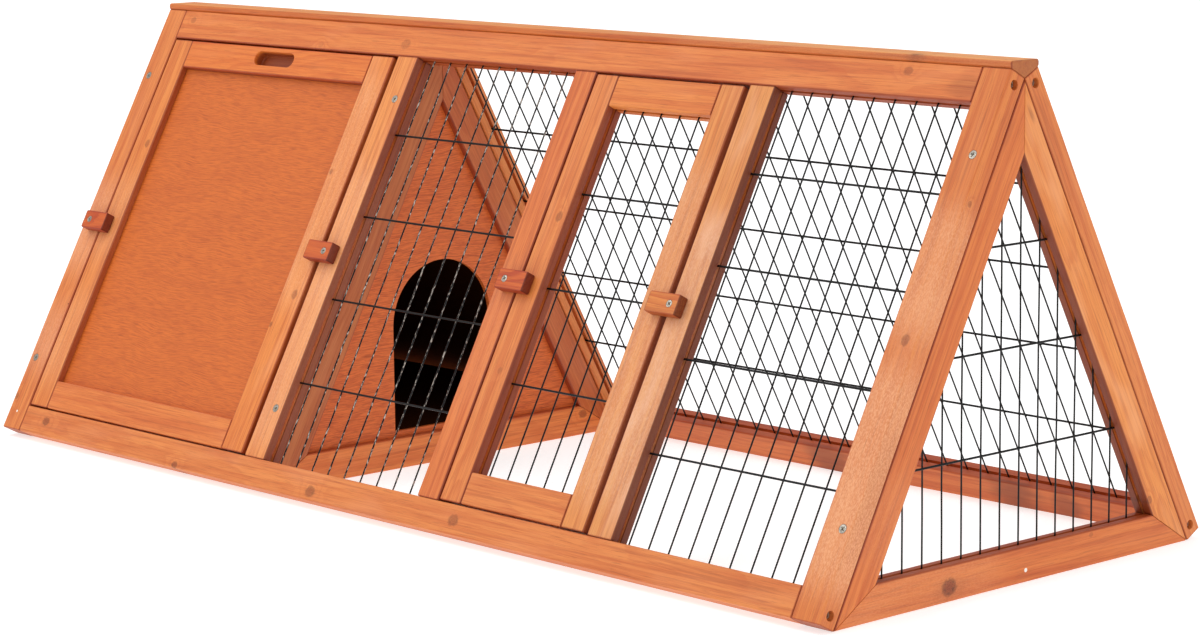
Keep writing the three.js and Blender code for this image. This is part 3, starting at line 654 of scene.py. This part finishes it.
timbers = {
    **stiles("front", "front_stile_left_end", "front_stile_at_partition", "front_stile_mid_run"),
    **stiles("front", "front_stile_by_run_door", "front_stile_right_end"),
    **rails("front", "front_rail_top", "front_rail_bottom"),
    **stiles("front", "sleep_door_stile_left", "sleep_door_stile_right", "run_door_stile_left", "run_door_stile_right"),
    **rails("front", "sleep_door_rail_bottom", "sleep_door_rail_top", "run_door_rail_bottom", "run_door_rail_top"),
    **stiles("back", "back_stile_left_end", "back_stile_at_partition", "back_stile_right_end"),
    **rails("back", "back_rail_top", "back_rail_bottom"),
    **{name + "_leg_front": ("front", 1, 2) for name in ("right_end", "left_end", "partition")},
    **{name + "_leg_back": ("back", 1, 2) for name in ("right_end", "left_end", "partition")},
    **{name + "_rail": ("upright", 1, 2) for name in ("right_end", "left_end", "partition")},
}
looks = dict(  # along the piece's own axes: up the slope or along the run, then across
    # sides, deep and hidden darken a piece as painted shade; sheens lighten it as painted highlight
    front_stile_left_end=dict(
        knots=[(36, -606, 3.5, 0.6)], marks=[(20, -595, 1.3, (240, 236, 228)), (147, -580, 0.8, (96, 44, 20))],
        sheens=[(70, 140, 0.4), (190, 290, 0.45)], sides=(0.9, 0.6), hidden=1,
    ),
    front_stile_at_partition=dict(sides=(0.6, 0.34), sheens=[(40, 340, 0.35)], tone=(1.08, 1.22, 1.3), hidden=1),
    front_stile_mid_run=dict(sides=(0.8, 0.4), sheens=[(120, 260, 0.12)], tone=(0.97, 0.84, 0.78)),
    front_stile_by_run_door=dict(sides=(0.6, 0.26), sheens=[(60, 330, 0.35)], tone=(1, 1.25, 1.5), pink=0.7),
    front_stile_right_end=dict(
        knots=[(249, 597, 4.5, 0.6)], sideKnots=[(376, -14, 2.6, 0.6)],
        stains=[(249, 597, 14, 7, 0.2), (110, 611, 150, 2, 0.3)],
        sheens=[(30, 225, 0.8), (262, 368, 0.6), (245, 300, 0.35)],
        tone=(0.95, 0.87, 0.74), sides=(0.7, 1), hidden=1,
    ),
    front_rail_top=dict(
        knots=[(-558, 487, 4, 0.4), (-321, 470, 3.5, 0.2), (-185, 478, 6, 0.35), (497, 489, 4.5, 0.5)],
        marks=[(-569, 464, 1, (60, 26, 12))], stains=[(566, 480, 26, 14, 0.3)],
        tone=(1, 0.93, 0.86), sides=(0.55, 1), pith=(487, -34), rings=0.9,
    ),
    front_rail_bottom=dict(
        knots=[(-536, 16, 5, 0.85), (-293, 3, 4, 0.8), (-72, 9, 6, 0.75), (140, 14, 6, 0.65)], rings=0.9
    ),
    sleep_door_rail_top=dict(tone=(1, 0.82, 0.5), sides=(0.6, 0.9), deep=0.7),
    sleep_door_rail_bottom=dict(tone=(1, 0.92, 0.8)),
    sleep_door_stile_left=dict(
        knots=[(339, -553, 4, 0.6)], sheens=[(60, 160, 0.3), (210, 300, 0.3)],
        sides=(0.8, 0.5), tone=(1.03, 1.05, 0.93),
    ),
    sleep_door_stile_right=dict(
        knots=[(333, -225, 2.5, 0.6), (200, -208, 4.5, 0.6), (165, -227, 2.5, 0.7)],
        sheens=[(190, 440, 0.4)], tone=(1.06, 1.06, 0.88), sides=(0.7, 0.6), pink=0.5,
    ),
    run_door_stile_left=dict(knots=[(317, 131, 4.5, 0.55), (161, 128, 3, 0.4)], sides=(0.7, 0.4)),
    run_door_stile_right=dict(sides=(0.6, 0.5), sheens=[(60, 380, 0.35)], tone=(1, 1.14, 1.18)),
    run_door_rail_top=dict(tone=(1.03, 1, 0.82)),
    right_end_leg_front=dict(
        stains=[(448, -4, 20, 4, 0.15)], pith=(-14, 640), skew=(0.05, 0.0),
        sheens=[(60, 140, 0.2)], sides=(0.7, 0.5), tone=(0.96, 0.82, 0.64),
    ),
    right_end_leg_back=dict(
        knots=[(68, -28, 3.5, 0.6)], stains=[(466, -7, 14, 4, 0.45)], pith=(-16, -640), skew=(0.03, 0.0),
        sides=(0.32, 0.5), pink=0.6, tone=(1.07, 1.16, 1.03),
    ),
    right_end_rail=dict(
        knots=[(-93, 13, 8, 1), (96, 28, 2.5, 0.3)], stains=[(-93, 13, 22, 14, 0.2)],
        marks=[(7, 11, 2, (244, 240, 232))], sheens=[(-230, -30, 0.25)], sides=(1, 0.6), tone=(0.95, 0.8, 0.62),
    ),
    back_stile_right_end=dict(hidden=1),
    # painted shade: the partition's front leg, inside the run, is toned darker as it lies in shade
    partition_leg_front=dict(tone=(0.72, 0.66, 0.7), sides=(0.7, 0.6)),
    partition_leg_back=dict(tone=(0.8, 0.66, 0.62), sides=(0.6, 0.6)),
    partition_rail=dict(knots=[(187, 23, 5, 0.7)], sides=(1, 0.7), tone=(1.05, 0.95, 0.8)),
    back_rail_bottom=dict(
        stains=[(-171, 12, 40, 30, 0.6), (-411, 20, 44, 26, 0.65), (-472, 12, 20, 26, 0.5)], stained="inside",
        sides=(1, 0.7), tone=(0.92, 0.76, 0.66),
    ),
    ridge_cap=dict(
        seed=5, knots=[(500, -13, 5, 0.6)], stains=[(500, -16, 16, 7, 0.4)], sheens=[(200, 640, 0.25)],
        sides=(0.69, 0.69), hidden=0, endTone=0.5, tone=(1.19, 1.4, 1.05),
    ),
)
bodies = frame["record"]["behaviour"]["bodies"]
bodyOf = {node: body for body, nodes in bodies.items() for node in nodes}
firstSeed = 11
for number, (node, (side, along, across)) in enumerate(timbers.items()):
    look = dict(seed=number + firstSeed) | looks.get(node, {})
    timber(node, bodyOf[node], side, along, across, look)
print("timbers", len(timbers))

cap = dict(halfWidth=18, edge=6.4, topArris=2.6, arris=0.8, lift=0.3, rings=44)


def ridgeCap():
    # the V section, its arrises rounded, carried along the ridge
    apex = run["slopeLength"] * math.sin(slope)
    valley = apex + cap["lift"] / math.sin(slope)
    sideBottom = valley + cap["halfWidth"] / math.tan(slope)
    top = apex + run["thickness"] * math.cos(slope) + cap["edge"]
    half, r, small = cap["halfWidth"], cap["topArris"], cap["arris"]
    turn = np.linspace(0, math.pi / 2, 6)
    right = np.column_stack([half - r + r * np.cos(turn), top - r + r * np.sin(turn)])
    lower = np.array([[half - small * 1.4, sideBottom - 0.75], [half, sideBottom + small]])
    outline = np.concatenate([[[0, valley]], lower, right, (right * [-1, 1])[::-1], (lower * [-1, 1])[::-1]])
    length, soft = run["length"], run["endSoftness"]
    travel = np.linspace(soft, length - soft, cap["rings"])[1:-1]
    travel = np.concatenate([[0, soft], travel, [length - soft, length]]) - length / 2
    middle = np.array([0, (valley + top) / 2 + 3])
    section = np.repeat(outline[None], len(travel), 0)
    for end in (0, -1):  # the end face is drawn in a little
        section[end] = middle + (section[end] - middle) * (1 - soft / np.array([half, (top - valley) / 2]))
    along = np.repeat(travel[:, None], len(outline), 1)
    points = np.stack([along, section[..., 0], section[..., 1]], -1).reshape(-1, 3)
    piece = asPiece("timber_ridge_cap", meshOf("ridge_cap", points, gridFaces(len(travel), len(outline))))
    own = pieceFrame(places["upright"], 0, 1)
    own[:3, 3] = (0, 0, apex)
    ends = (-length / 2, -half, 0), (length / 2, half, top - apex)
    piece.data.materials.append(timberFinish("ridge_cap", own, looks["ridge_cap"], *ends))
    piece.modifiers.new("even", "WEIGHTED_NORMAL").keep_sharp = True
    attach(piece, "root")
    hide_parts("ridge_cap")


ridgeCap()

net = dict(upright=1.6, cross=2.1, weld=0.25, reach=5.7, sides=8, sway=0.35, pitch=30, spacing=25, rowSpacing=89.6)
net["thickness"] = net["upright"] + net["cross"] - net["weld"]
netInner = panelMiddle - net["thickness"] / 2
wireLook = wireFinish()
litWire = wireFinish("lit_wire", pieceFrame(places["front"], 0, 1), netInner + net["upright"])


def wireTube(start, end, radius, rng):
    # a circle carried from start to end, with a slow sway of a fraction of a millimetre
    start, end = np.array(start, float), np.array(end, float)
    length = np.linalg.norm(end - start)
    direction = (end - start) / length
    helper = np.array([0, 0, 1.0]) if abs(direction[2]) < 0.9 else np.array([1.0, 0, 0])
    u = np.cross(direction, helper)
    u /= np.linalg.norm(u)
    v = np.cross(direction, u)
    count = max(3, int(length / net["pitch"]))
    t = np.linspace(0, 1, count)
    phase = rng.uniform(0, 2 * math.pi, 4)
    sway = net["sway"] * np.sin(math.pi * t) * (np.sin(5 * t + phase[0]) + 0.5 * np.sin(13 * t + phase[1]))
    centre = start + np.outer(t, end - start) + np.outer(sway, u)
    turn = roundTurn(net["sides"])
    ring = radius * (np.outer(np.cos(turn), u) + np.outer(np.sin(turn), v))
    points = (centre[:, None] + ring[None]).reshape(-1, 3)
    return points, gridFaces(count, net["sides"])


def weldBead(at, axis):  # a small spindle along the cross wire
    profile = [(0.05, -1.2), (0.85, -0.8), (1.15, 0), (0.85, 0.8), (0.05, 1.2)]
    own = np.eye(4)
    own[:3, 2] = axis
    helper = np.array([1.0, 0, 0]) if abs(axis[0]) < 0.9 else np.array([0, 1.0, 0])
    own[:3, 0] = np.cross(helper, axis)
    own[:3, 1] = np.cross(axis, own[:3, 0])
    own[:3, 3] = at
    return lathe(profile, 6, own)


def wireNet(node, body, side, uprights, rows, low, crown, reach, inner, seed, look=wireLook):
    # uprights and rows lie in the net's own plane; crown(x) is an upright's upper end, reach(y) a row's ends
    rng = np.random.default_rng(seed)
    place, parts = places[side], []
    uprightLevel, rowLevel = inner + net["upright"] / 2, inner + net["thickness"] - net["cross"] / 2
    rowAxis = place[:3, 1] if side == "upright" else place[:3, 0]

    def put(*flat):
        points = [(level, x, y) if side == "upright" else (x, y, level) for x, y, level in flat]
        return moved(np.array(points, float), place)

    for x in uprights:
        ends = put((x, low, uprightLevel), (x, crown(x), uprightLevel))
        parts.append(wireTube(*ends, net["upright"] / 2, rng))
    for y in rows:
        left, right = reach(y)
        ends = put((left, y, rowLevel), (right, y, rowLevel))
        parts.append(wireTube(*ends, net["cross"] / 2, rng))
        for x in uprights:
            if left < x < right:
                parts.append(weldBead(put((x, y, inner + net["upright"] - 0.05))[0], rowAxis))
    piece = asPiece("net_" + node, joinedMesh(node, parts), 60)
    piece.data.materials.append(look)
    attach(piece, body)
    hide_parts(node)


def panelNet(node, body, opening, first, firstRow, seed, look=wireLook, **gaps):
    spacing, rowSpacing = (gaps.get(key, net[key]) for key in ("spacing", "rowSpacing"))
    _, side, (x0, x1, y0, y1) = openings[opening]
    r = net["reach"]

    def crown(x):
        return y1 + r

    def reach(y):
        return x0 - r, x1 + r

    uprights = np.arange(x0 + first, x1 - net["upright"], spacing)
    rows = np.arange(firstRow, y1 - net["cross"], rowSpacing)
    wireNet(node, body, side, uprights, rows, y0 - r, crown, reach, netInner, seed, look)


def endNet(node, first, firstRow, headroom, seed):  # between the legs and the rail of the right end
    leg = (endFrame["gap"] + endFrame["leg"]) / math.sin(slope)  # its width on the level
    apex = (footprint - leg) * math.tan(slope)
    r = net["reach"]

    def crown(y):
        return apex + r / math.cos(slope) - (abs(y) + net["upright"] / 2) * math.tan(slope)

    def reach(z):
        half = footprint - (z + 1) / math.tan(slope) - leg + r / math.sin(slope)
        return -half, half

    uprights = np.arange(first, -first, net["spacing"])
    rows = np.arange(firstRow, apex - headroom, net["rowSpacing"])
    inner = frames["right_end"][0] - net["thickness"] / 2
    wireNet(node, "root", "upright", uprights, rows, endFrame["rail"] - r, crown, reach, inner, seed)


panelNet("front_mesh_middle", "root", "middle", 14.2, 114, 1, look=litWire)
panelNet("front_mesh_right", "root", "right", 11.5, 114, 2)
panelNet("run_door_mesh", "run_door", "runDoor", 13.1, 152.8, 3, rowSpacing=95.8)
panelNet("back_mesh", "root", "back", 20, 110, 4, spacing=26.2)
endNet("right_end_mesh", -165.8, 27.9, 60, 5)
print("nets done")

zinc = zincFinish()


def crossHead(node, body, own, size):
    # polar grid over the head: a low dome less a cross-shaped recess, then the taper and the shank
    head, sides, rows, cross = size["head"], screwHead["sides"], screwHead["rows"], screwHead["cross"]
    radius = np.linspace(0.02, 1, rows) * (head - 0.15)
    r, t = np.meshgrid(radius, roundTurn(sides), indexing="ij")
    x, y = r * np.cos(t), r * np.sin(t)
    arm = np.minimum(np.abs(x), np.abs(y))
    inside = np.clip((cross["half"] - arm) / cross["slant"], 0, 1)
    inside = inside * np.clip((head * cross["reach"] - r) / cross["fade"], 0, 1)
    dome = screwHead["dome"]
    z = dome * (1 - (r / head) ** 2) - dome - cross["depth"] * inside
    top = np.stack([x, y, z], -1)
    rim = -screwHead["rim"]
    neck = rim - (head - size["shank"]) * screwHead["taper"]
    if "headHeight" in size:  # a flat underside in place of a taper
        rim = neck = -size["headHeight"]
    shank, tip = size["shank"], -size["length"]
    lower = [(head, -0.15), (head, rim), (shank, neck), (shank, tip + 4), (0.05, tip)]
    points = np.concatenate([top, turnedRound(lower, sides)]).reshape(-1, 3)
    faces = gridFaces(rows + len(lower), sides, turned=True)
    spin = math.radians((sum(map(ord, node)) * 37) % 90)  # each screw sits at its own angle
    turned = points @ np.array([[math.cos(spin), math.sin(spin), 0], [-math.sin(spin), math.cos(spin), 0], [0, 0, 1]])
    piece = asPiece("screw_" + node, meshOf(node, moved(turned, own), faces), 40)
    piece.data.materials.append(zinc)
    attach(piece, body)
    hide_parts(node)


for name, column in zip(("left_end", "partition", "right_end"), screws["face"]["columns"]):
    for end, level in faceLevels.items():
        own = standing(places["front"], (column, level, run["thickness"]))
        crossHead(f"face_screw_{name}_{end}", "root", own, screws["face"])
for name, (x, y, _, _) in buttons.items():
    crossHead("pivot_screw_" + name, bodyOf["pivot_screw_" + name], standing(*pivotFrame(x, y)), screws["pivot"])
sunk = screws["corner"]["boreDepth"] - screws["corner"]["headHeight"]
for side in ("front", "back"):
    for end, level in cornerLevels.items():
        crossHead(f"corner_screw_{side}_{end}", "root", cornerFrame(side, level, sunk), screws["corner"])
print("screws done")


def turnButton(name, pivotX, pivotY, nose, tone):
    # a rounded outline at each level of the block, drawn in towards its faces along a quarter circle
    size = buttonSize
    edge, top = size["edge"], size["thickness"]
    turn = np.linspace(0, math.pi / 2, 4)
    levels = [(edge * (1 - math.sin(a)), edge * (1 - math.cos(a))) for a in turn]
    levels += [(edge * (1 - math.cos(a)), top - edge * (1 - math.sin(a))) for a in turn]
    rings = []
    for inset, height in levels:
        r = max(size["corner"] - inset, 0.3)
        hx, hy = size["length"] / 2 - inset - r, size["width"] / 2 - inset - r
        outline = []
        for quarter, (signX, signY) in enumerate([(1, 1), (-1, 1), (-1, -1), (1, -1)]):
            angle = turn + quarter * math.pi / 2
            outline.append(np.column_stack([signX * hx + r * np.cos(angle), signY * hy + r * np.sin(angle)]))
        outline = np.concatenate(outline)
        rings.append(np.column_stack([outline, np.full(len(outline), height)]))
    middle = pivotX + nose * (size["length"] / 2 - size["pivotInset"])
    points = np.concatenate(rings) + [middle, pivotY, size["base"]]
    node = "turn_button_" + name
    mesh = meshOf(node, moved(points, places["front"]), gridFaces(len(levels), len(rings[0])))
    piece = asPiece("block_" + name, mesh)
    corners = cornersOf(piece)
    pivots = [cutter for cutter in cutters if cutter.name.startswith("hole_pivot")]
    wanted = [cutter for cutter in pivots if overlaps(corners, cutterPoints[cutter])]
    own = pieceFrame(places["front"], 0, 1)
    seed = 1000 + int(pivotX)
    # painted shade: the block's sides, ends and the face on the panel are darkened, as they lie in shade
    look = dict(seed=seed, tone=tone, pitch=2.6, rings=3, endTone=0.32, sides=(0.6, 0.75), hidden=0)
    finished(piece, timberFinish(node, own, look, points.min(0), points.max(0)), wanted)
    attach(piece, bodyOf[node])
    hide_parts(node)


for name, settings in buttons.items():
    turnButton(name, *settings)
print("buttons done")

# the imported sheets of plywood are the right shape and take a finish
dull = dict(roughness=0.8, ior=1.1)  # the inner side would mirror the pale floor in the doorway
sheets = dict(
    sleep_door_plywood=("front", 0, 1, dict(seed=3, strength=0.6, tone=(0.98, 0.9, 0.5), inside=(-1, 8))),
    back_plywood=("back", 0, 1, dict(seed=4, strength=0.55, inside=(-1, 8), **dull)),
    left_end_plywood=("upright", 1, 2, dict(seed=5, strength=0.4, inside=(1, -598), **dull)),
    partition_plywood=(
        "upright", 1, 2, dict(seed=6, strength=0.9, ripple=0.9, tone=(1.1, 0.98, 0.9), inside=(-1, -172)),
    ),
    sleeping_floor=(
        "upright", 0, 1, dict(seed=7, strength=0.5, inside=(1, 37), inner=0.04, roughness=0.85, ior=1.05),
    ),
)
for node, (side, along, across, look) in sheets.items():
    item = frame["nodes"][node]
    item.data.materials.clear()
    item.data.materials.append(plyFinish(node, pieceFrame(places[side], along, across), look))
for cutter in cutters:
    mesh = cutter.data
    bpy.data.objects.remove(cutter)
    bpy.data.meshes.remove(mesh)
print("plywood done")

stage = dict(shade=(200, 200, 200), glow=0.66, radii=(1, 3000, 30000), sides=64, drop=0.4, world=0.58)
suns = dict(  # where it stands, strength, softness in degrees
    key=((-0.3, -0.3, 1.0), 1.05, 40),
    fill=((1.0, -0.15, 0.3), 0.75, 60),
)
softBox = dict(at=(-900, -1350, 1400), towards=(500, -100, 200), size=(1100, 800), power=5)
view = dict(  # fitted to the photograph
    azimuth=46.716, elevation=8.787, roll=-0.469, position=(2405.8, -2133.0, 677.3),
    focal=3275.1, centre=(647.4, 302.9), size=(1200, 635), sensor=36,
)


def stageFloor():  # rings of a wide disc, a little below the ground
    sides, turn = stage["sides"], roundTurn(stage["sides"])
    circle = np.column_stack([np.cos(turn), np.sin(turn), np.zeros(sides)])
    points = np.concatenate([circle * radius for radius in stage["radii"]]) - [0, 0, stage["drop"]]
    faces = gridFaces(len(stage["radii"]), sides, capped=False)
    piece = asPiece("pale_floor", meshOf("pale_floor", points, faces))
    shader = Shader("pale_floor")
    rough = 0.8 + shader.noise(shader.objectPlace(), 3.0, 2.0) * 0.1
    shade = colour(*stage["shade"])
    glow = dict(Emission_Color=(1, 1, 1, 1), Emission_Strength=stage["glow"])
    piece.data.materials.append(shader.finish(Base_Color=shade, Roughness=rough, **glow))


def placedLight(name, light, direction):
    item = bpy.data.objects.new(name, light)
    item.rotation_euler = Vector(direction).to_track_quat("Z", "Y").to_euler()
    bpy.context.scene.collection.objects.link(item)
    return item


def studioLight():
    for name, (direction, strength, softness) in suns.items():
        light = bpy.data.lights.new(name, "SUN")
        light.energy, light.angle = strength, math.radians(softness)
        placedLight(name, light, direction)
    light = bpy.data.lights.new("sheen", "AREA")
    light.shape, light.energy = "RECTANGLE", softBox["power"]
    light.size, light.size_y = (side * mm for side in softBox["size"])
    item = placedLight("sheen", light, Vector(softBox["at"]) - Vector(softBox["towards"]))
    item.location = Vector(softBox["at"]) * mm
    world = bpy.data.worlds.new("studio")
    world.use_nodes = True
    sky = world.node_tree.nodes["Background"].inputs
    sky["Color"].default_value, sky["Strength"].default_value = (1, 1, 1, 1), stage["world"]
    bpy.context.scene.world = world


def photoCamera():
    az, el, roll = (math.radians(view[key]) for key in ("azimuth", "elevation", "roll"))
    forward = Vector((-math.sin(az) * math.cos(el), math.cos(az) * math.cos(el), -math.sin(el)))
    right = Vector((math.cos(az), math.sin(az), 0))
    up = right.cross(forward)
    turnedRight = right * math.cos(roll) + up * math.sin(roll)
    turnedUp = up * math.cos(roll) - right * math.sin(roll)
    data = bpy.data.cameras.new("photo_view")
    wide, high = view["size"]
    data.sensor_width, data.sensor_fit = view["sensor"], "HORIZONTAL"
    data.lens = view["focal"] / wide * view["sensor"]
    data.shift_x = (wide / 2 - view["centre"][0]) / wide
    data.shift_y = (view["centre"][1] - high / 2) / wide
    data.clip_start, data.clip_end = 0.05, 200
    camera = bpy.data.objects.new("photo_view", data)
    turn = Matrix((turnedRight, turnedUp, -forward)).transposed().to_4x4()
    camera.matrix_world = Matrix.Translation(Vector(view["position"]) * mm) @ turn
    bpy.context.scene.collection.objects.link(camera)
    bpy.context.scene.camera = camera


stageFloor()
studioLight()
photoCamera()
bpy.context.scene.view_settings.view_transform = "Standard"
print("stage done")
